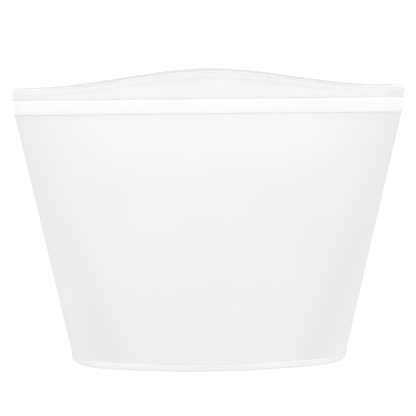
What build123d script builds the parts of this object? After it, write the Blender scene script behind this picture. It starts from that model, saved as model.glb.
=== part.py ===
"""Reusable silicone bag: stand-up food bag with a press-to-close zip.

Millimetres. The origin is the bottom centre of the base, +X runs along the bag's
width, -Y is the front and +Z is up. The front and back halves are mirror images
except for the zip: the front track carries the rib, the back track the groove.
"""

import os
from math import cos, pi, radians, sin, sqrt

from build123d import *

# Base: an oval of two long side arcs and two end arcs
BASE_LENGTH = 137.0
BASE_DEPTH = 58.0
END_RADIUS = 22.0
FOOT_HEIGHT = 3.2
FOOT_BEVEL = 1.1
FOOT_RING = 4.0
FLOOR_UNDERSIDE = 0.9
FLOOR_TOP = 2.4

# Walls: straight from the base's oval up to the flat band below the zip
FOOT_STEP = 0.3
WALL = 1.5
SIDE_ARC_RADIUS = 174.0
GUSSET_TILT = 21.0
WALL_AT_ZIP = 1.4
ZIP_BOTTOM = 125.0
TOP_HALF_WIDTH = 96.4
TOP_HALF_DEPTH = 3.5

# Zip band
ZIP_TOP = 133.5
TRACK_OUTER = 4.2
TRACK_INNER = 1.4
TRACK_ROUND = 1.1
RIB_HEIGHT = 2.4
RIB_REACH = 2.5
RIB_HALF_LENGTH = 90.0
ZIP_MIDDLE = 129.0
JAW_SIDE_CLEARANCE = 0.5
JAW_HEIGHT = 2.2
JAW_REACH = 2.5
JAW_ROUND = 0.8

# Lips: the pull edges above the zip, low at the ends and crowned in the middle
LIP_THICKNESS = 1.3
LIP_BOTTOM_MIDDLE = 2.8
LIP_END_HEIGHT = 138.7
LIP_CROWN_RISE = 8.5
LIP_CROWN_SPREAD = 3.0
LIP_CROWN_HALF = 86.0
RIM_HEIGHT = 3.4
RIM_STEP = 0.8

# Welded zip ends
SEAL_INNER = 92.0
SEAL_OUTER = 98.2
CORNER_ROUND = 1.6

# Running gap between the walls' moving parts and the rest of the bag
GAP = 0.3

HALF_LENGTH = BASE_LENGTH / 2
HALF_DEPTH = BASE_DEPTH / 2
END_CENTRE = HALF_LENGTH - END_RADIUS
FOOT_ARC_RADIUS = (END_CENTRE**2 + HALF_DEPTH**2 - END_RADIUS**2) / (2 * (HALF_DEPTH - END_RADIUS))
CREASE_BASE = 52.0
TRACK_HALF_LENGTH = SEAL_INNER - GAP

STATIONS = (-TRACK_HALF_LENGTH, -80, -64, -48, -32, -16, 0, 16, 32, 48, 64, 80, TRACK_HALF_LENGTH)


def side_y(x, inset=0.0):
    """Distance from the middle plane to the wall's foot at x."""
    return sqrt((SIDE_ARC_RADIUS - inset) ** 2 - x * x) - (SIDE_ARC_RADIUS - HALF_DEPTH)


def crown(x):
    """1 at the middle of the mouth, easing to 0 near its ends."""
    return 0.5 * (1 + cos(pi * min(abs(x) / LIP_CROWN_HALF, 1.0)))


def oval(inset=0.0):
    """Outline of the base, drawn in by an inset: two side arcs that run into two end arcs."""
    turn = END_CENTRE / (FOOT_ARC_RADIUS - END_RADIUS)
    radius = END_RADIUS - inset
    tx, ty = END_CENTRE + radius * turn, radius * sqrt(1 - turn**2)
    end = HALF_LENGTH - inset
    depth = HALF_DEPTH - inset
    with BuildSketch() as outline:
        with BuildLine():
            ThreePointArc((-tx, -ty), (0, -depth), (tx, -ty))
            ThreePointArc((tx, -ty), (end, 0), (tx, ty))
            ThreePointArc((tx, ty), (0, depth), (-tx, ty))
            ThreePointArc((-tx, ty), (-end, 0), (-tx, -ty))
        make_face()
    return outline.sketch


def build_wall(side):
    """One wall panel, from the base's long side to the straight lower edge of the zip."""
    foot = CREASE_BASE - GAP
    outer, inner = side * side_y(foot), side * side_y(foot, WALL)
    y_out, y_in = side * TOP_HALF_DEPTH, side * (TOP_HALF_DEPTH - WALL_AT_ZIP)
    with BuildPart() as wall:
        with BuildSketch(Plane.XY.offset(FOOT_HEIGHT + GAP)):
            with BuildLine():
                ThreePointArc((-foot, outer), (0, side * HALF_DEPTH), (foot, outer))
                Line((foot, outer), (foot, inner))
                ThreePointArc((foot, inner), (0, side * (HALF_DEPTH - WALL)), (-foot, inner))
                Line((-foot, inner), (-foot, outer))
            make_face()
        with BuildSketch(Plane.XY.offset(ZIP_BOTTOM)):
            with BuildLine():
                Polyline(
                    (-TRACK_HALF_LENGTH, y_out),
                    (TRACK_HALF_LENGTH, y_out),
                    (TRACK_HALF_LENGTH, y_in),
                    (-TRACK_HALF_LENGTH, y_in),
                    close=True,
                )
            make_face()
        loft(ruled=True)
    return wall


def build_gusset(side):
    """End of the bag: a wall of a leaning cone, wide at the base's end and closing to the zip's end."""
    rise = ZIP_BOTTOM - FOOT_HEIGHT
    lean = (TOP_HALF_WIDTH - HALF_LENGTH) / rise
    to_apex = rise * side_y(CREASE_BASE) / (side_y(CREASE_BASE) - TOP_HALF_DEPTH)
    apex = (HALF_LENGTH + lean * to_apex, 0, FOOT_HEIGHT + to_apex)
    tilt = radians(GUSSET_TILT)
    over = 12.0
    with BuildPart() as gusset:
        with BuildSketch(Plane.XZ):
            with BuildLine():
                Polyline(
                    (HALF_LENGTH - lean * over, FOOT_HEIGHT - over),
                    (TOP_HALF_WIDTH + lean * over, ZIP_BOTTOM + over),
                    (TOP_HALF_WIDTH - WALL_AT_ZIP + lean * over, ZIP_BOTTOM + over),
                    (HALF_LENGTH - WALL - lean * over, FOOT_HEIGHT - over),
                    close=True,
                )
            make_face()
        revolve(axis=Axis(apex, (sin(tilt), 0, cos(tilt))))
        with BuildSketch(Plane.XZ):
            with BuildLine():
                Polyline(
                    (CREASE_BASE, FOOT_HEIGHT),
                    (HALF_LENGTH + over, FOOT_HEIGHT),
                    (TOP_HALF_WIDTH + over, ZIP_BOTTOM),
                    (SEAL_INNER, ZIP_BOTTOM),
                    close=True,
                )
            make_face()
        extrude(amount=BASE_DEPTH, both=True, mode=Mode.INTERSECT)
        if side < 0:
            mirror(about=Plane.YZ, mode=Mode.REPLACE)
    return gusset


def build_seal(side):
    """Solid end of the zip, where front and back run together."""
    band_end = TOP_HALF_WIDTH + 1.0
    with BuildPart() as seal:
        with BuildSketch(Plane.XY.offset(ZIP_BOTTOM)):
            with BuildLine():
                Polyline(
                    (SEAL_INNER, -TRACK_OUTER),
                    (band_end, -TRACK_OUTER),
                    (band_end, TRACK_OUTER),
                    (SEAL_INNER, TRACK_OUTER),
                    close=True,
                )
            make_face()
            fillet(vertices().sort_by(Axis.X)[-2:], 3.2)
        extrude(amount=ZIP_TOP - ZIP_BOTTOM)
        rims = seal.edges().filter_by(lambda e: abs(e.tangent_at(0.5).Z) < 0.1 and e.center().X > SEAL_INNER + 0.1)
        chamfer(rims, 0.8)
        with BuildSketch(Plane.XZ.offset(-LIP_BOTTOM_MIDDLE - LIP_THICKNESS / 2)):
            with BuildLine():
                Polyline(
                    (SEAL_INNER, ZIP_TOP - 1.5),
                    (band_end - 0.6, ZIP_TOP - 1.5),
                    (SEAL_OUTER, LIP_END_HEIGHT),
                    (SEAL_INNER, LIP_END_HEIGHT),
                    close=True,
                )
            make_face()
        extrude(amount=2 * LIP_BOTTOM_MIDDLE + LIP_THICKNESS)
        corner = seal.edges().filter_by(Axis.Y).sort_by(Axis.Z)[-2:].sort_by(Axis.X)[-1:]
        fillet(corner, CORNER_ROUND)
        if side < 0:
            mirror(about=Plane.YZ, mode=Mode.REPLACE)
    return seal


def build_track(side):
    """Raised band along the mouth that carries one half of the zip."""
    with BuildPart() as track:
        with BuildSketch(Plane.YZ.offset(-TRACK_HALF_LENGTH)):
            with BuildLine():
                Polyline(
                    (side * TRACK_INNER, ZIP_BOTTOM),
                    (side * TRACK_OUTER, ZIP_BOTTOM),
                    (side * TRACK_OUTER, ZIP_TOP),
                    (side * TRACK_INNER, ZIP_TOP),
                    close=True,
                )
            make_face()
            # The sketch lies in the YZ plane, so its Y axis is the bag's height
            outer_corners = vertices().sort_by(Axis.Y)
            outer_corners = outer_corners[:2] if side < 0 else outer_corners[-2:]
            fillet(outer_corners, TRACK_ROUND)
        extrude(amount=2 * TRACK_HALF_LENGTH)
    return track


def lip_lean(x, side):
    """Middle line of a lip at x: its foot and its top edge, as (y, z) pairs."""
    c = crown(x)
    top = LIP_END_HEIGHT + LIP_CROWN_RISE * c
    return (side * LIP_BOTTOM_MIDDLE, ZIP_TOP), (
        side * (LIP_BOTTOM_MIDDLE + LIP_CROWN_SPREAD * c),
        top,
    )


def rim_start(x, side):
    """Point of the lip's middle line where the rim begins."""
    (y0, z0), (y1, z1) = lip_lean(x, side)
    z = z1 - RIM_HEIGHT
    return y0 + (y1 - y0) * (z - z0) / (z1 - z0), z


def build_lip(side):
    """Thin pull edge above the track, leaning outwards towards the middle."""
    half = LIP_THICKNESS / 2
    with BuildPart() as lip:
        for x in STATIONS:
            (y0, z0), _ = lip_lean(x, side)
            y1, z1 = rim_start(x, side)
            with BuildSketch(Plane.YZ.offset(x)):
                with BuildLine():
                    Polyline((y0 - half, z0), (y0 + half, z0), (y1 + half, z1), (y1 - half, z1), close=True)
                make_face()
        loft()
    return lip


def build_rim(side):
    """Thicker bead along the top of a lip."""
    half = LIP_THICKNESS / 2
    with BuildPart() as rim:
        for x in STATIONS:
            y0, z0 = rim_start(x, side)
            _, (y1, z1) = lip_lean(x, side)
            step = min(RIM_STEP, 0.25 + RIM_STEP * crown(x))
            inner0, outer0 = y0 - side * half, y0 + side * (half + step)
            inner1, outer1 = y1 - side * half, y1 + side * (half + step)
            with BuildSketch(Plane.YZ.offset(x)):
                with BuildLine():
                    Polyline(
                        (inner0, z0),
                        (outer0 - side * 0.2, z0),
                        (outer0, z0 + 0.5),
                        (outer1, z1 - 0.7),
                        (outer1 - side * 0.5, z1),
                        (inner1 + side * 0.3, z1),
                        (inner1, z1 - 0.5),
                        close=True,
                    )
                make_face()
        loft()
    return rim


def build_jaw(above):
    """One side of the groove that takes the rib."""
    near = RIB_HEIGHT / 2 + JAW_SIDE_CLEARANCE
    direction = 1 if above else -1
    z_near = ZIP_MIDDLE + direction * near
    z_far = z_near + direction * JAW_HEIGHT
    with BuildPart() as jaw:
        with BuildSketch(Plane.YZ.offset(-RIB_HALF_LENGTH)):
            with BuildLine():
                Polyline(
                    (TRACK_INNER, z_near),
                    (TRACK_INNER, z_far),
                    (TRACK_INNER - JAW_REACH, z_far),
                    (TRACK_INNER - JAW_REACH, z_near),
                    close=True,
                )
            make_face()
        extrude(amount=2 * RIB_HALF_LENGTH)
        fillet(jaw.faces().sort_by(Axis.Y)[0].edges().filter_by(Axis.X), JAW_ROUND)
    return jaw


# Base with a foot ring below and a shallow floor inside
with BuildPart() as base:
    with BuildSketch():
        add(oval(-FOOT_STEP))
    extrude(amount=FOOT_HEIGHT)
    chamfer(base.faces().sort_by(Axis.Z)[0].edges(), FOOT_BEVEL)
    with BuildSketch():
        add(oval(FOOT_RING))
    extrude(amount=FLOOR_UNDERSIDE, mode=Mode.SUBTRACT)
    with BuildSketch(Plane.XY.offset(FOOT_HEIGHT)):
        add(oval(2.2))
    extrude(amount=FLOOR_TOP - FOOT_HEIGHT, mode=Mode.SUBTRACT)

left_gusset = build_gusset(-1)
right_gusset = build_gusset(1)
left_end_seal = build_seal(-1)
right_end_seal = build_seal(1)

front_wall = build_wall(-1)
back_wall = build_wall(1)
front_track = build_track(-1)
back_track = build_track(1)
front_lip = build_lip(-1)
back_lip = build_lip(1)
front_lip_rim = build_rim(-1)
back_lip_rim = build_rim(1)

# Rib of the zip, with a full round nose
with BuildPart() as zip_rib:
    with BuildSketch(Plane.YZ.offset(-RIB_HALF_LENGTH)):
        nose = RIB_HEIGHT / 2
        shoulder = -TRACK_INNER + RIB_REACH - nose
        with BuildLine():
            Line((-TRACK_INNER, ZIP_MIDDLE - nose), (shoulder, ZIP_MIDDLE - nose))
            ThreePointArc(
                (shoulder, ZIP_MIDDLE - nose),
                (shoulder + nose, ZIP_MIDDLE),
                (shoulder, ZIP_MIDDLE + nose),
            )
            Line((shoulder, ZIP_MIDDLE + nose), (-TRACK_INNER, ZIP_MIDDLE + nose))
            Line((-TRACK_INNER, ZIP_MIDDLE + nose), (-TRACK_INNER, ZIP_MIDDLE - nose))
        make_face()
    extrude(amount=2 * RIB_HALF_LENGTH)

upper_groove_jaw = build_jaw(True)
lower_groove_jaw = build_jaw(False)

os.makedirs("parts", exist_ok=True)
nodes = {
    "base": base,
    "left_gusset": left_gusset,
    "right_gusset": right_gusset,
    "left_end_seal": left_end_seal,
    "right_end_seal": right_end_seal,
    "front_wall": front_wall,
    "front_track": front_track,
    "zip_rib": zip_rib,
    "front_lip": front_lip,
    "front_lip_rim": front_lip_rim,
    "back_wall": back_wall,
    "back_track": back_track,
    "upper_groove_jaw": upper_groove_jaw,
    "lower_groove_jaw": lower_groove_jaw,
    "back_lip": back_lip,
    "back_lip_rim": back_lip_rim,
}
for node, builder in nodes.items():
    builder.part.label = node
    export_step(builder.part, f"parts/{node}.step")
    box = builder.part.bounding_box()
    print(f"{node}: {len(builder.part.solids())} solid, {builder.part.volume:.0f} mm3, {box.size.X:.1f} x {box.size.Y:.1f} x {box.size.Z:.1f}")
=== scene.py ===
"""Looks of the reusable silicone bag: soft skins, zip bands, lips, base, materials, light and camera.

Metres, in the part's own frame: +X along the bag's width, -Y the front, +Z up.
The front and the back half are each one moulded sheet, from the still part of the bag
round to its own wall.
"""

import math

import bmesh
import bpy
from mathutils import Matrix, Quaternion, Vector


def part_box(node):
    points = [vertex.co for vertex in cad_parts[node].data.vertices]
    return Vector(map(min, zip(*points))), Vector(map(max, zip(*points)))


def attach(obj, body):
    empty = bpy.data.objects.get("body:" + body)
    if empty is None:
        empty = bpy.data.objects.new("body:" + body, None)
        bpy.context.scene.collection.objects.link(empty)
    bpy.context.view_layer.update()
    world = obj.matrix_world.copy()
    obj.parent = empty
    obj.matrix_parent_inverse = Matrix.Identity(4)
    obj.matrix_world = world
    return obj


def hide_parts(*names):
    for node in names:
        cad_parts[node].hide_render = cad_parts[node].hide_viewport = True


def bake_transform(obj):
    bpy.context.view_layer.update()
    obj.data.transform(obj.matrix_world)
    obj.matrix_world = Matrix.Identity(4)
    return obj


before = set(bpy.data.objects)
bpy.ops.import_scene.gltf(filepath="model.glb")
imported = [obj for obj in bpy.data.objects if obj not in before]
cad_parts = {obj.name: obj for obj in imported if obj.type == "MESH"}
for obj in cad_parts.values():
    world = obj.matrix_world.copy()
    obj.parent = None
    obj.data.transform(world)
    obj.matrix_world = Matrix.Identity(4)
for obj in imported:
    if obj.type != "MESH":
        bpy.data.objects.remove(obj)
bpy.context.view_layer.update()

MM = 0.001
TINY = 0.001 * MM
NEARBY = 0.01 * MM
FRONT, BACK = -1, 1
LEFT, RIGHT = -1, 1
WORD = {FRONT: "front", BACK: "back"}

# Places read from the part
BASE_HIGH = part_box("base")[1]
TRACK_LOW, TRACK_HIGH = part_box("back_track")
SEAL_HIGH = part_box("right_end_seal")[1]
FOOT_TOP = BASE_HIGH.z
ZIP_BOTTOM, ZIP_TOP = TRACK_LOW.z, TRACK_HIGH.z
TOP_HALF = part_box("right_gusset")[1].x
LIP_END_TOP = SEAL_HIGH.z
LIP_CROWN_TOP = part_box("back_lip_rim")[1].z
LIP_CROWN = LIP_CROWN_TOP - LIP_END_TOP

# The skins: half a wall's outline at the foot and at the zip, and what is buried at each
WALL_THICKNESS = 1.5 * MM
FOOT_STEP = 0.3 * MM
END_RADIUS = 22.0 * MM
BASE_HALF = BASE_HIGH.x - FOOT_STEP + 1.2 * MM
BASE_DEPTH = BASE_HIGH.y - FOOT_STEP
TOP_DEPTH = 3.5 * MM
SKIN_IN_FOOT = 0.5 * MM
SKIN_IN_ZIP = 0.8 * MM
SKIN_ROWS = 36
END_STEPS, SIDE_STEPS = 14, 72

# The soft swell low in each wall, and the dips at its upper corners
SWELL_DEPTH, SWELL_HEIGHT, SWELL_PUSH, SWELL_REACH = 20.0 * MM, 45.0 * MM, 1.6 * MM, 62.0 * MM
DIP_SIDE, DIP_DEPTH, DIP_HEIGHT, DIP_PUSH, DIP_REACH = 74.0 * MM, 8.0 * MM, 98.0 * MM, 0.9 * MM, 30.0 * MM

# The zip
BAND_FACE = 4.3 * MM
BAND_BACK = 1.4 * MM
BAND_HALF = 99.0 * MM
BAND_ROUND = 2.0 * MM
BAND_END_ROUND = 2.2 * MM
RIB_ROUND = 1.15 * MM
JAW_ROUND = 0.7 * MM
ZIP_OVERLAP = 0.2 * MM
RAIL_STEPS = 96

# The solid cores at the mouth's two ends
CORE_START = 91.0 * MM
CORE_LENGTH = 12.0 * MM
CORE_EDGE = 0.3 * MM
CORE_END_ROUND = 0.6 * MM
ZIP_CORE_INSET, ZIP_CORE_SINK = 0.4 * MM, 0.2 * MM
LIP_CORE_INSET, LIP_CORE_SINK, LIP_CORE_ROOT = 0.7 * MM, 0.3 * MM, 0.8 * MM
CORE_OVERLAP = 0.2 * MM

# The lips
LIP_THICKNESS = 1.3 * MM
LIP_MIDDLE = 2.8 * MM
LIP_INNER = LIP_MIDDLE - LIP_THICKNESS / 2
LIP_SPREAD = 3.0 * MM
LIP_HALF = SEAL_HIGH.x - 0.4 * MM
LIP_CROWN_REACH = 86.0 * MM
LIP_STEPS = 96
RIM_HEIGHT = 3.4 * MM
RIM_SLOPE = 0.9 * MM
RIM_PROUD = 0.4 * MM
LIP_EDGE_ROUND = 0.35 * MM
LIP_ROOT = 1.0 * MM
# Painted shade of the lips: along their top edges, weaker towards the corners, and fainter on their inner
# faces below the rim
EDGE = "lip_edge_shade"
EDGE_HEIGHT, EDGE_FADE = 0.6 * MM, 0.6 * MM
CORNER_SHADE, CORNER_GAIN, INNER_SHADE = 0.3, 3.0, 0.4

# The base
LEDGE_HEIGHT = 4.1 * MM
LEDGE_ROUND = 0.6 * MM
TREAD_WIDTH = 4.2 * MM
TREAD_ROUND = 1.8 * MM
RECESS = 0.9 * MM
LEDGE_WIDTH = 2.0 * MM
FLOOR_SLOPE = 1.6 * MM
FLOOR_TOP = 2.4 * MM
WELD = 0.05 * MM
GRAIN_RELIEF = 0.05 * MM


# ---------------------------------------------------------------- modelling helpers


def start_point(name, place):
    """A new mesh of one point, left in edit mode with the point selected."""
    bpy.ops.object.select_all(action="DESELECT")
    bpy.ops.mesh.primitive_plane_add(size=MM, location=(0, 0, 0))
    piece = bpy.context.object
    piece.name = piece.data.name = name
    bpy.ops.object.mode_set(mode="EDIT")
    bpy.ops.mesh.select_mode(type="VERT")
    bpy.ops.mesh.select_all(action="SELECT")
    bpy.ops.mesh.merge(type="CENTER")
    bpy.ops.transform.translate(value=place)
    return piece


def add_point(place):
    """Starts a second chain of points in the mesh being edited, and selects it alone."""
    bpy.ops.mesh.select_all(action="DESELECT")
    bpy.ops.mesh.primitive_plane_add(size=MM, location=(0, 0, 0))
    bpy.ops.mesh.merge(type="CENTER")
    bpy.ops.transform.translate(value=place)


def select_points(piece, wanted):
    """Selects the points of a mesh in edit mode that a test accepts."""
    bpy.ops.mesh.select_mode(type="VERT")
    bpy.ops.mesh.select_all(action="DESELECT")
    mesh = bmesh.from_edit_mesh(piece.data)
    for v in mesh.verts:
        v.select = bool(wanted(v.co))
    mesh.select_flush_mode()
    bmesh.update_edit_mesh(piece.data)


def count_points(piece):
    """How many points the mesh being edited has."""
    return len(bmesh.from_edit_mesh(piece.data).verts)


def select_made(piece, first, last):
    """Selects the points of a mesh in edit mode by their order of making."""
    bpy.ops.mesh.select_mode(type="VERT")
    bpy.ops.mesh.select_all(action="DESELECT")
    mesh = bmesh.from_edit_mesh(piece.data)
    for number, v in enumerate(mesh.verts):
        v.select = first <= number < last
    mesh.select_flush_mode()
    bmesh.update_edit_mesh(piece.data)


def select_faces(piece, wanted):
    """Selects the faces of a mesh in edit mode that a test accepts."""
    bpy.ops.mesh.select_mode(type="FACE")
    bpy.ops.mesh.select_all(action="DESELECT")
    mesh = bmesh.from_edit_mesh(piece.data)
    for f in mesh.faces:
        f.select_set(bool(wanted(f)))
    bmesh.update_edit_mesh(piece.data)


def select_edges(piece, wanted):
    """Selects the edges of a mesh in edit mode that a test accepts."""
    bpy.ops.mesh.select_mode(type="EDGE")
    bpy.ops.mesh.select_all(action="DESELECT")
    mesh = bmesh.from_edit_mesh(piece.data)
    for e in mesh.edges:
        e.select_set(bool(wanted(e)))
    bmesh.update_edit_mesh(piece.data)


def turn_about(centre, degrees, steps):
    """Draws on from the selected point round a centre in plan, counterclockwise."""
    bpy.ops.mesh.spin(steps=steps, angle=-math.radians(degrees), center=centre, axis=(0, 0, 1))


def move_softly(move, reach):
    """Moves the selected points, and what lies round them on the sheet with them."""
    bpy.ops.transform.translate(
        value=move,
        use_proportional_edit=True,
        use_proportional_connected=True,
        proportional_edit_falloff="SMOOTH",
        proportional_size=reach,
    )


def push_softly(piece, place, move, reach):
    """Pushes the point of the sheet nearest to a place, and what lies round it with it."""
    mesh = bmesh.from_edit_mesh(piece.data)
    target = Vector(place)
    nearest = min((v.co for v in mesh.verts), key=lambda co: (co - target).length).copy()
    select_points(piece, lambda co: (co - nearest).length < TINY)
    move_softly(move, reach)


def bevel_selected(size, segments, affect="EDGES"):
    """Rounds over the selected edges, or the corners at the selected points."""
    bpy.ops.mesh.bevel(offset=size, segments=segments, affect=affect, offset_type="OFFSET")


def trim_slanted(way, inset):
    """Cuts a piece off along the slanted side of the mouth, from the zip up to the lip's corner."""
    low = Vector((TOP_HALF - inset, 0, ZIP_BOTTOM))
    high = Vector((SEAL_HIGH.x - inset, 0, LIP_END_TOP))
    run = (high - low).normalized()
    bpy.ops.mesh.select_mode(type="VERT")
    bpy.ops.mesh.select_all(action="SELECT")
    bpy.ops.mesh.bisect(
        plane_co=(way * low.x, 0, low.z),
        plane_no=(way * run.z, 0, -run.x),
        use_fill=True,
        clear_outer=True,
        threshold=TINY,
    )


def round_cut(piece, size):
    """Rounds over the cut that has just been made, whose points are selected."""
    mesh = bmesh.from_edit_mesh(piece.data)
    cut = [v.co.copy() for v in mesh.verts if v.select]

    def on_cut(point):
        return any((point.co - co).length < TINY for co in cut)

    select_edges(piece, lambda e: all(on_cut(v) for v in e.verts))
    bpy.ops.mesh.bevel(
        offset=size, segments=8, affect="EDGES", offset_type="OFFSET", clamp_overlap=True
    )


def apply_modifiers(piece):
    """Applies all of a piece's modifiers in their order."""
    bpy.ops.object.mode_set(mode="OBJECT")
    bpy.context.view_layer.objects.active = piece
    for modifier in list(piece.modifiers):
        bpy.ops.object.modifier_apply(modifier=modifier.name)


def face_outwards(piece, side):
    """Turns an open sheet so that its faces look away from the bag's middle plane."""
    bpy.ops.mesh.select_all(action="SELECT")
    bpy.ops.mesh.normals_make_consistent(inside=False)
    mesh = bmesh.from_edit_mesh(piece.data)
    mesh.normal_update()
    if sum(f.normal.y * f.calc_area() for f in mesh.faces) * side < 0:
        bpy.ops.mesh.flip_normals()


def finish_piece(piece, material, smooth):
    """Smooth shading up to an angle in degrees, finish and slot of a piece that is ready."""
    if bpy.context.object and bpy.context.object.mode != "OBJECT":
        bpy.ops.object.mode_set(mode="OBJECT")
    bpy.ops.object.select_all(action="DESELECT")
    piece.select_set(True)
    bpy.context.view_layer.objects.active = piece
    bpy.ops.object.shade_smooth_by_angle(angle=math.radians(smooth))
    piece.data.materials.clear()
    piece.data.materials.append(material)
    return piece


def bend_with_wall(piece):
    """Folds the piece's points onto one side of the middle plane, bakes the object's
    placement into its mesh and then puts each point's x back as it was."""
    places = [v.co.x for v in piece.data.vertices]
    for v in piece.data.vertices:
        v.co.x = abs(v.co.x)
    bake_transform(piece)
    for v, x in zip(piece.data.vertices, places):
        v.co.x = x
    return piece


# ---------------------------------------------------------------- pieces


def half_outline(side, half_length, depth, radius, height):
    """Draws one long side of the bag in plan, from seam to seam, at a height: an end arc,
    a bowed or straight side and an end arc. The starting point is selected beforehand."""
    centre_x = half_length - radius
    bow = depth - radius
    if bow > 0:
        side_radius = (centre_x**2 + depth**2 - radius**2) / (2 * bow)
        half_turn = math.degrees(math.asin(centre_x / (side_radius - radius)))
    else:
        half_turn = 0.0
    way = -side
    turn_about((-centre_x, 0, height), way * (90 - half_turn), END_STEPS)
    if bow > 0:
        turn_about((0, -side * (side_radius - depth), height), way * 2 * half_turn, SIDE_STEPS)
    else:
        step = 2 * centre_x / SIDE_STEPS
        bpy.ops.mesh.extrude_repeat(steps=SIDE_STEPS, offset=(step, 0, 0))
    turn_about((centre_x, 0, height), way * (90 - half_turn), END_STEPS)


def make_skin(side, material):
    """Front or back half of the bag below the zip: wall and half of each gusset in one sheet."""
    foot = FOOT_TOP - SKIN_IN_FOOT
    top = ZIP_BOTTOM + SKIN_IN_ZIP
    piece = start_point(f"{WORD[side]}_skin", (-BASE_HALF, 0, foot))
    half_outline(side, BASE_HALF, BASE_DEPTH, END_RADIUS, foot)
    add_point((-TOP_HALF, 0, top))
    half_outline(side, TOP_HALF, TOP_DEPTH, TOP_DEPTH, top)
    bpy.ops.mesh.select_all(action="SELECT")
    bpy.ops.mesh.bridge_edge_loops(type="SINGLE", number_cuts=SKIN_ROWS, interpolation="LINEAR")
    push_softly(piece, (0, side * SWELL_DEPTH, SWELL_HEIGHT), (0, side * SWELL_PUSH, 0), SWELL_REACH)
    for way in (LEFT, RIGHT):
        corner = (way * DIP_SIDE, side * DIP_DEPTH, DIP_HEIGHT)
        push_softly(piece, corner, (0, -side * DIP_PUSH, 0), DIP_REACH)
    face_outwards(piece, side)
    bpy.ops.object.mode_set(mode="OBJECT")
    wall = piece.modifiers.new("wall", "SOLIDIFY")
    wall.thickness = WALL_THICKNESS
    wall.offset = -1.0
    wall.use_even_offset = False
    apply_modifiers(piece)
    finish_piece(piece, material, smooth=60)
    bend_with_wall(piece)
    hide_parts(f"{WORD[side]}_wall")
    return piece


def make_bar(name, start_x, end_x, near, far, low, high, rounds, steps):
    """A bar along the mouth, left in edit mode. Its section runs from near to far in Y and
    low to high in Z, with the corners at the near and the far side rounded as rounds says."""
    bpy.ops.object.select_all(action="DESELECT")
    bpy.ops.mesh.primitive_plane_add(
        size=1, location=(start_x, (near + far) / 2, (low + high) / 2), rotation=(0, math.pi / 2, 0)
    )
    piece = bpy.context.object
    piece.name = piece.data.name = name
    piece.scale = (high - low, abs(far - near), 1)
    bpy.ops.object.transform_apply(location=True, rotation=True, scale=True)
    bpy.ops.object.mode_set(mode="EDIT")
    for at, size in zip((near, far), rounds):
        if size > 0:
            select_points(piece, lambda co: abs(co.y - at) < NEARBY)
            bevel_selected(size, 6, affect="VERTICES")
    bpy.ops.mesh.select_mode(type="FACE")
    bpy.ops.mesh.select_all(action="SELECT")
    bpy.ops.mesh.extrude_repeat(steps=steps, offset=((end_x - start_x) / steps, 0, 0))
    bpy.ops.mesh.select_all(action="SELECT")
    bpy.ops.mesh.normals_make_consistent(inside=False)
    return piece


def make_rail(name, near, far, low, high, half_length, rounds, material, end_round=0.0):
    """A bar all along the mouth: a zip band, the rib or a jaw of the groove. With an end
    round it is cut to the slanted sides of the bag and rounded over there."""
    piece = make_bar(name, -half_length, half_length, near, far, low, high, rounds, RAIL_STEPS)
    if end_round:
        for way in (LEFT, RIGHT):
            trim_slanted(way, 0.0)
            round_cut(piece, end_round)
    finish_piece(piece, material, smooth=50)
    return bend_with_wall(piece)


def make_band(side, material):
    """The raised white band in front of, or behind, the zip."""
    near, far = side * BAND_BACK, side * BAND_FACE
    name = f"{WORD[side]}_zip_band"
    rounds = (0.0, BAND_ROUND)
    band = make_rail(
        name, near, far, ZIP_BOTTOM, ZIP_TOP, BAND_HALF, rounds, material, BAND_END_ROUND
    )
    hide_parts(f"{WORD[side]}_track")
    return band


def make_rib(material):
    """The zip's rib, on the front half."""
    low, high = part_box("zip_rib")
    rib = make_rail(
        "rib", low.y - ZIP_OVERLAP, high.y, low.z, high.z, high.x, (0.0, RIB_ROUND), material
    )
    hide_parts("zip_rib")
    return rib


def make_jaw(node, material):
    """One of the two jaws of the zip's groove, on the back half."""
    low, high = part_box(node)
    far = high.y + ZIP_OVERLAP
    jaw = make_rail(
        f"{node}_bead", low.y, far, low.z, high.z, high.x, (JAW_ROUND, 0.0), material
    )
    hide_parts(node)
    return jaw


def make_core(name, way, thickness, low, high, inset, material):
    """Solid core at an end of the mouth, where its two halves are one."""
    half = thickness / 2
    start, end = way * CORE_START, way * (CORE_START + CORE_LENGTH)
    piece = make_bar(name, start, end, -half, half, low, high, (CORE_EDGE, CORE_EDGE), 3)
    trim_slanted(way, inset)
    round_cut(piece, CORE_END_ROUND)
    finish_piece(piece, material, smooth=50)
    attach(piece, "bag")
    return piece


def make_zip_end(way, word, material):
    """The core between the ends of the two zip bands."""
    thickness = 2 * (BAND_BACK + CORE_OVERLAP)
    low, high = ZIP_BOTTOM + ZIP_CORE_SINK, ZIP_TOP - ZIP_CORE_SINK
    name = f"{word}_zip_end"
    core = make_core(name, way, thickness, low, high, ZIP_CORE_INSET, material)
    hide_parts(f"{word}_end_seal")
    return core


def make_lip_end(way, word, material):
    """The core between the corners of the two lips."""
    thickness = 2 * (LIP_INNER + CORE_OVERLAP)
    low, high = ZIP_TOP - LIP_CORE_ROOT, LIP_END_TOP - LIP_CORE_SINK
    name = f"{word}_lip_end"
    core = make_core(name, way, thickness, low, high, LIP_CORE_INSET, material)
    # Painted shade along the core's top edge, as on the lips
    paint_edge_shade(core, FRONT)
    return core


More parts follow.
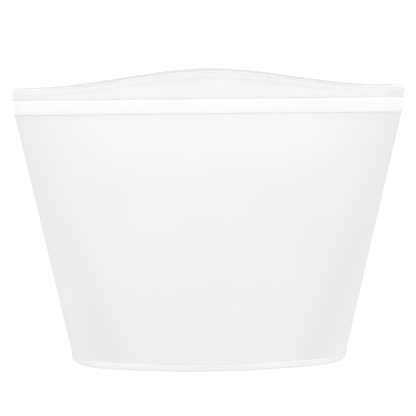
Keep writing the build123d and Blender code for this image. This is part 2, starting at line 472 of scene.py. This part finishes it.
def make_lip(side, material):
    """A pull lip: a thin sheet up from the zip to the crowned edge of the mouth, a little
    thicker along its rim. It is drawn as its inner face and thickened outwards."""
    rim_start = LIP_END_TOP - RIM_HEIGHT
    # height at the ends, half length, share of the spread and rise of the crown, row by row
    rows = (
        (ZIP_TOP - LIP_ROOT, LIP_HALF - 0.9 * MM, 0.0, 0.0),
        (rim_start, LIP_HALF - 0.4 * MM, 0.76, LIP_CROWN),
        (rim_start + RIM_SLOPE, LIP_HALF - 0.3 * MM, 0.83, LIP_CROWN),
        (LIP_END_TOP, LIP_HALF, 1.0, LIP_CROWN),
    )
    piece = start_point(f"{WORD[side]}_pull_lip", (-rows[0][1], side * LIP_INNER, rows[0][0]))
    piece.vertex_groups.new(name="rim")
    made = [0]
    for number, (height, half, spread, rise) in enumerate(rows):
        if number > 0:
            add_point((-half, side * LIP_INNER, height))
        step = 2 * half / LIP_STEPS
        bpy.ops.mesh.extrude_repeat(steps=LIP_STEPS, offset=(step, 0, 0))
        made.append(count_points(piece))
        select_made(piece, made[-2], made[-1])
        if number > 1:
            bpy.ops.object.vertex_group_assign()
        if rise:
            select_points(piece, lambda co: abs(co.z - height) < NEARBY and abs(co.x) < step / 2)
            move_softly((0, side * spread * LIP_SPREAD, rise), LIP_CROWN_REACH)
    for number, cuts in enumerate((4, 1, 3)):
        select_made(piece, made[number], made[number + 2])
        bpy.ops.mesh.select_mode(type="EDGE")
        bpy.ops.mesh.bridge_edge_loops(type="SINGLE", number_cuts=cuts, interpolation="LINEAR")
    face_outwards(piece, side)
    bpy.ops.object.mode_set(mode="OBJECT")
    sheet = piece.modifiers.new("thickness", "SOLIDIFY")
    sheet.thickness = LIP_THICKNESS + RIM_PROUD
    sheet.offset = 1.0
    sheet.vertex_group = "rim"
    sheet.thickness_vertex_group = LIP_THICKNESS / (LIP_THICKNESS + RIM_PROUD)
    soft = piece.modifiers.new("soft edge", "BEVEL")
    soft.width = LIP_EDGE_ROUND
    soft.segments = 4
    soft.limit_method = "ANGLE"
    soft.angle_limit = math.radians(50)
    apply_modifiers(piece)
    # Painted shade along the lip's top edge and on its inner face
    paint_edge_shade(piece, side)
    finish_piece(piece, material, smooth=50)
    bend_with_wall(piece)
    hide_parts(f"{WORD[side]}_lip", f"{WORD[side]}_lip_rim")
    return piece


def paint_edge_shade(piece, side):
    """Paints shade on a lip: along its top edge, fading towards the corners, and more
    faintly on the inner face below it, which faces the other lip."""
    point_shades = piece.data.attributes.new(EDGE, "FLOAT", "POINT")
    for v, point_shade in zip(piece.data.vertices, point_shades.data):
        near = max(0.0, 1 - abs(v.co.x) / LIP_CROWN_REACH)
        below = LIP_END_TOP + LIP_CROWN * (3 * near**2 - 2 * near**3) - v.co.z
        edge = min(1.0, max(0.0, (EDGE_HEIGHT + EDGE_FADE - below) / EDGE_FADE))
        towards_middle = min(1.0, CORNER_SHADE + CORNER_GAIN * near)
        # Painted shade on the inner face, in the narrow gap between the two lips
        inner = INNER_SHADE if v.normal.y * side < -0.5 and below < RIM_HEIGHT else 0.0
        point_shade.value = max(edge * towards_middle, inner)


def make_base(material):
    """The oval base: a soft foot that stands a little proud of the walls, with a rounded
    tread, a shallow floor inside and a recess below."""
    half, depth, radius = BASE_HALF + FOOT_STEP, BASE_DEPTH + FOOT_STEP, END_RADIUS + FOOT_STEP
    piece = start_point("foot_and_floor", (-half, 0, 0))
    half_outline(FRONT, half, depth, radius, 0.0)
    add_point((-half, 0, 0))
    half_outline(BACK, half, depth, radius, 0.0)
    bpy.ops.mesh.select_all(action="SELECT")
    bpy.ops.mesh.remove_doubles(threshold=WELD)
    bpy.ops.mesh.edge_face_add()
    bpy.ops.mesh.extrude_region_move(TRANSFORM_OT_translate={"value": (0, 0, LEDGE_HEIGHT)})
    bpy.ops.mesh.select_all(action="SELECT")
    bpy.ops.mesh.normals_make_consistent(inside=False)
    select_faces(piece, lambda f: f.normal.z < -0.9)
    bpy.ops.mesh.inset(thickness=TREAD_WIDTH, use_even_offset=True)
    bpy.ops.mesh.inset(thickness=RECESS, use_even_offset=True)
    bpy.ops.transform.translate(value=(0, 0, RECESS))
    select_faces(piece, lambda f: f.normal.z > 0.9)
    bpy.ops.mesh.inset(thickness=LEDGE_WIDTH, use_even_offset=True)
    bpy.ops.mesh.inset(thickness=FLOOR_SLOPE, use_even_offset=True)
    bpy.ops.transform.translate(value=(0, 0, FLOOR_TOP - LEDGE_HEIGHT))

    def outer_edge(e, height):
        level = all(abs(v.co.z - height) < NEARBY for v in e.verts)
        return level and any(abs(f.normal.z) < 0.1 for f in e.link_faces)

    select_edges(piece, lambda e: outer_edge(e, 0.0))
    bevel_selected(TREAD_ROUND, 7)
    select_edges(piece, lambda e: outer_edge(e, LEDGE_HEIGHT))
    bevel_selected(LEDGE_ROUND, 4)
    finish_piece(piece, material, smooth=50)
    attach(piece, "bag")
    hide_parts("base")
    return piece


# ---------------------------------------------------------------- materials


def math_node(tree, operation, *values):
    """A Math node with numbers or other nodes' outputs put in, returned as its output."""
    node = tree.nodes.new("ShaderNodeMath")
    node.operation = operation
    for socket, value in zip(node.inputs, values):
        if isinstance(value, (int, float)):
            socket.default_value = value
        else:
            tree.links.new(value, socket)
    return node.outputs[0]


def soft_step(tree, value, start, stop):
    """0 before start, 1 after stop and smooth between; of two numbers, start may be the greater."""
    node = tree.nodes.new("ShaderNodeMapRange")
    node.interpolation_type = "SMOOTHSTEP"
    if isinstance(start, (int, float)) and isinstance(stop, (int, float)) and start > stop:
        start, stop = stop, start
        node.inputs["To Min"].default_value = 1.0
        node.inputs["To Max"].default_value = 0.0
    for label, limit in (("From Min", start), ("From Max", stop)):
        if isinstance(limit, (int, float)):
            node.inputs[label].default_value = limit
        else:
            tree.links.new(limit, node.inputs[label])
    tree.links.new(value, node.inputs["Value"])
    return node.outputs["Result"]


def new_group(name, inputs, outputs):
    """A node group with named inputs (with their plain values) and outputs."""
    group = bpy.data.node_groups.new(name, "ShaderNodeTree")
    kinds = {float: "NodeSocketFloat", tuple: "NodeSocketColor"}
    for label, value in inputs:
        kind = kinds[type(value)]
        socket = group.interface.new_socket(name=label, in_out="INPUT", socket_type=kind)
        socket.default_value = value
    for label, kind in outputs:
        group.interface.new_socket(name=label, in_out="OUTPUT", socket_type=kinds[kind])
    given = group.nodes.new("NodeGroupInput").outputs
    out = group.nodes.new("NodeGroupOutput").inputs
    return group, given, out


def make_frost_group():
    """Frosted surface: the silicone's colour at a tone, faint milky clouding, fine grain."""
    group, given, out = new_group(
        "frosted_surface",
        (
            ("Colour", (0.9, 0.9, 0.9, 1.0)),
            ("Tone", 1.0),
            ("Clouding", 0.02),
            ("Grain", 1800.0),
            ("Roughness", 0.42),
        ),
        (("Colour", tuple), ("Roughness", float), ("Height", float)),
    )
    nodes, link = group.nodes, group.links.new
    place = nodes.new("ShaderNodeTexCoord").outputs["Object"]
    cloud = nodes.new("ShaderNodeTexNoise")
    cloud.inputs["Scale"].default_value = 22.0
    cloud.inputs["Detail"].default_value = 3.0
    grain = nodes.new("ShaderNodeTexNoise")
    grain.inputs["Detail"].default_value = 2.0
    tint = nodes.new("ShaderNodeVectorMath")
    tint.operation = "SCALE"
    link(place, cloud.inputs["Vector"])
    link(place, grain.inputs["Vector"])
    link(given["Grain"], grain.inputs["Scale"])
    drift = math_node(group, "SUBTRACT", cloud.outputs["Fac"], 0.5)
    amount = math_node(group, "MULTIPLY_ADD", drift, given["Clouding"], given["Tone"])
    link(given["Colour"], tint.inputs[0])
    link(amount, tint.inputs["Scale"])
    link(tint.outputs[0], out["Colour"])
    link(math_node(group, "MULTIPLY_ADD", drift, 0.12, given["Roughness"]), out["Roughness"])
    link(grain.outputs["Fac"], out["Height"])
    return group


def make_fold_group():
    """Where the silicone's colour changes: along the two soft folds between wall and gusset
    (painted shade on the walls), outside them (painted light on the walls), just under the zip
    and just above the foot (painted light) and at the zip's ends. Lengths are in millimetres."""
    group, given, out = new_group(
        "soft_folds",
        (
            ("Fold foot", 48.6),
            ("Fold slope", 0.357),
            ("Fold width", 15.0),
            ("Zip start", 86.0),
            ("Zip stop", 118.0),
            ("Foot start", 6.5),
            ("Foot stop", 3.6),
            ("End start", 84.0),
            ("End stop", 96.5),
        ),
        (
            ("Fold", float),
            ("Gusset", float),
            ("Near zip", float),
            ("Near foot", float),
            ("End", float),
        ),
    )
    nodes, link = group.nodes, group.links.new
    scale = nodes.new("ShaderNodeVectorMath")
    scale.operation = "SCALE"
    scale.inputs["Scale"].default_value = 1000.0
    split = nodes.new("ShaderNodeSeparateXYZ")
    link(nodes.new("ShaderNodeTexCoord").outputs["Object"], scale.inputs[0])
    link(scale.outputs[0], split.inputs[0])
    height = split.outputs["Z"]
    across = math_node(group, "ABSOLUTE", split.outputs["X"])
    fold_line = math_node(group, "MULTIPLY_ADD", height, given["Fold slope"], given["Fold foot"])
    past = math_node(group, "SUBTRACT", across, fold_line)
    off = soft_step(group, math_node(group, "ABSOLUTE", past), 0.0, given["Fold width"])
    inside = soft_step(group, past, -8.0, -42.0)
    under_zip = soft_step(group, height, given["Zip start"], given["Zip stop"])
    above_foot = soft_step(group, height, given["Foot stop"], given["Foot start"])
    link(math_node(group, "SUBTRACT", 1.0, off), out["Fold"])
    link(soft_step(group, past, 4.0, 13.0), out["Gusset"])
    link(math_node(group, "MULTIPLY", under_zip, inside), out["Near zip"])
    link(math_node(group, "SUBTRACT", 1.0, above_foot), out["Near foot"])
    link(soft_step(group, across, given["End start"], given["End stop"]), out["End"])
    return group


FROST = make_frost_group()
FOLDS = make_fold_group()


def make_silicone(name, shade, clouding, grain, roughness, scatter, depth, bump, tones):
    """A translucent silicone with the frosted surface. Tones says how much lighter or darker its
    colour is painted at each of the soft folds' places, or along the piece's painted edge shade."""
    material = bpy.data.materials.new(name)
    material.use_nodes = True
    tree = material.node_tree
    link = tree.links.new
    shader = tree.nodes["Principled BSDF"]
    frost = tree.nodes.new("ShaderNodeGroup")
    frost.node_tree = FROST
    frost.inputs["Colour"].default_value = (shade, shade, shade, 1)
    frost.inputs["Clouding"].default_value = clouding
    frost.inputs["Grain"].default_value = grain
    frost.inputs["Roughness"].default_value = roughness
    folds = tree.nodes.new("ShaderNodeGroup")
    folds.node_tree = FOLDS
    masks = {mask.name: mask for mask in folds.outputs}
    # The piece's painted edge shade, when its tones ask for it
    if EDGE in dict(tones):
        edge = tree.nodes.new("ShaderNodeAttribute")
        edge.attribute_name = EDGE
        masks[EDGE] = edge.outputs["Fac"]
    tone = 1.0
    for label, change in tones:
        tone = math_node(tree, "MULTIPLY_ADD", masks[label], change, tone)
    link(tone, frost.inputs["Tone"])
    relief = tree.nodes.new("ShaderNodeBump")
    relief.inputs["Strength"].default_value = bump
    relief.inputs["Distance"].default_value = GRAIN_RELIEF
    link(frost.outputs["Colour"], shader.inputs["Base Color"])
    link(frost.outputs["Roughness"], shader.inputs["Roughness"])
    link(frost.outputs["Height"], relief.inputs["Height"])
    link(relief.outputs["Normal"], shader.inputs["Normal"])
    shader.inputs["Subsurface Weight"].default_value = scatter
    shader.inputs["Subsurface Radius"].default_value = (1.0, 1.0, 1.0)
    shader.inputs["Subsurface Scale"].default_value = depth
    shader.inputs["IOR"].default_value = 1.41
    shader.inputs["Specular IOR Level"].default_value = 0.4
    return material


def make_wall_silicone():
    """Frosted silicone of the walls, with painted shade along the folds and painted light outside them,
    under the zip and above the foot.
    """
    # Painted shade along the folds; painted light outside them, just under the zip and just above the
    # foot
    tones = (("Fold", -0.03), ("Gusset", 0.02), ("Near zip", 0.045), ("Near foot", 0.035))
    return make_silicone("frosted_silicone", 0.86, 0.03, 1600.0, 0.45, 0.6, 0.7 * MM, 0.15, tones)


def make_lip_silicone():
    """Silicone of the lips, thin enough to let light through, with painted shade along their top edges
    and inner faces and a little darker towards their ends.
    """
    # Painted shade along the lips' top edges and inner faces; a little darker towards the ends
    tones = (("End", -0.02), (EDGE, -0.12))
    return make_silicone("lip_silicone", 0.90, 0.02, 1600.0, 0.42, 0.8, 0.9 * MM, 0.12, tones)


def make_base_silicone():
    """Silicone of the thicker foot, paler than the walls between the folds."""
    tones = (("Gusset", -0.05),)
    return make_silicone("base_silicone", 0.94, 0.03, 1600.0, 0.45, 0.6, 0.7 * MM, 0.15, tones)


def make_zip_silicone():
    """Dense white silicone of the zip, fading into the walls' tone at its ends."""
    tones = (("End", -0.05),)
    return make_silicone("zip_silicone", 0.995, 0.01, 2400.0, 0.38, 0.5, 0.8 * MM, 0.08, tones)


# ---------------------------------------------------------------- studio


def seen_and_cast(tree, seen, cast, strength):
    """Drives a strength: as bright as seen to the eye, but casting less light."""
    ray = tree.nodes.new("ShaderNodeLightPath")
    level = tree.nodes.new("ShaderNodeMapRange")
    level.inputs["To Min"].default_value = cast
    level.inputs["To Max"].default_value = seen
    tree.links.new(ray.outputs["Is Camera Ray"], level.inputs["Value"])
    tree.links.new(level.outputs["Result"], strength)


def make_floor(seen, cast):
    """A plain white floor, bright enough to lose its edge in the white surround."""
    bpy.ops.object.select_all(action="DESELECT")
    bpy.ops.mesh.primitive_circle_add(
        vertices=96, radius=6.0, fill_type="NGON", location=(0, 0, 0)
    )
    floor = bpy.context.object
    floor.name = floor.data.name = "floor"
    material = bpy.data.materials.new("white_floor")
    material.use_nodes = True
    shader = material.node_tree.nodes["Principled BSDF"]
    shader.inputs["Base Color"].default_value = (0.2, 0.2, 0.2, 1)
    shader.inputs["Roughness"].default_value = 0.9
    shader.inputs["Specular IOR Level"].default_value = 0.0
    shader.inputs["Emission Color"].default_value = (1, 1, 1, 1)
    seen_and_cast(material.node_tree, seen, cast, shader.inputs["Emission Strength"])
    floor.data.materials.append(material)


def make_surround(seen, cast):
    """White all round."""
    world = bpy.data.worlds.new("white_surround")
    bpy.context.scene.world = world
    world.use_nodes = True
    background = world.node_tree.nodes["Background"]
    background.inputs["Color"].default_value = (1, 1, 1, 1)
    seen_and_cast(world.node_tree, seen, cast, background.inputs["Strength"])


def soft_light(name, place, target, size, power):
    """A large soft lamp, aimed at a target and not seen itself."""
    bpy.ops.object.light_add(type="AREA", location=place)
    lamp = bpy.context.object
    lamp.name = name
    lamp.data.shape = "RECTANGLE"
    lamp.data.size, lamp.data.size_y = size
    lamp.data.energy = power
    lamp.rotation_mode = "QUATERNION"
    lamp.rotation_quaternion = (Vector(target) - Vector(place)).to_track_quat("-Z", "Y")
    lamp.visible_camera = False


def make_lights():
    """Soft light from the front, both sides, above and behind."""
    middle, low_middle, upper_middle = (0, 0, 0.09), (0, 0, 0.05), (0, 0, 0.1)
    soft_light("front_key", (-0.06, -0.52, 0.46), middle, (0.5, 0.4), 0.745)
    soft_light("left_fill", (-0.9, -0.1, 0.22), low_middle, (0.5, 0.4), 0.48)
    soft_light("right_fill", (0.9, -0.1, 0.22), low_middle, (0.5, 0.4), 0.58)
    soft_light("overhead", (0, 0.05, 0.85), upper_middle, (0.8, 0.6), 0.5)
    soft_light("back_fill", (0.1, 0.8, 0.6), middle, (0.7, 0.5), 0.93)


def make_camera(azimuth, elevation, roll, distance, width, target):
    """A long lens that sees the given width at the target."""
    bpy.ops.object.camera_add()
    camera = bpy.context.object
    a, e = math.radians(azimuth), math.radians(elevation)
    back = Vector((math.sin(a) * math.cos(e), -math.cos(a) * math.cos(e), math.sin(e)))
    turn = Quaternion((0, 0, 1), math.radians(roll))
    camera.location = Vector(target) + back * distance
    camera.rotation_mode = "QUATERNION"
    camera.rotation_quaternion = (-back).to_track_quat("-Z", "Y") @ turn
    camera.data.sensor_width = 36.0
    camera.data.lens = camera.data.sensor_width * distance / width
    camera.data.clip_start, camera.data.clip_end = 0.05, 50.0
    bpy.context.scene.camera = camera


# ---------------------------------------------------------------- assembly


wall_silicone = make_wall_silicone()
lip_silicone = make_lip_silicone()
base_silicone = make_base_silicone()
zip_silicone = make_zip_silicone()

for side in (FRONT, BACK):
    make_skin(side, wall_silicone)
    make_band(side, zip_silicone)
    make_lip(side, lip_silicone)
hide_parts("left_gusset", "right_gusset")

make_rib(zip_silicone)
for node in ("upper_groove_jaw", "lower_groove_jaw"):
    make_jaw(node, zip_silicone)

make_base(base_silicone)
for way, word in ((LEFT, "left"), (RIGHT, "right")):
    make_zip_end(way, word, zip_silicone)
    make_lip_end(way, word, lip_silicone)

make_floor(seen=0.92, cast=0.65)
make_surround(seen=1.0, cast=0.865)
make_lights()
make_camera(-3.0, 12.0, -0.1, 1.1, 0.2085, (-0.0006, 0, 0.0771))
bpy.context.scene.view_settings.view_transform = "Standard"
bpy.context.scene.view_settings.look = "None"
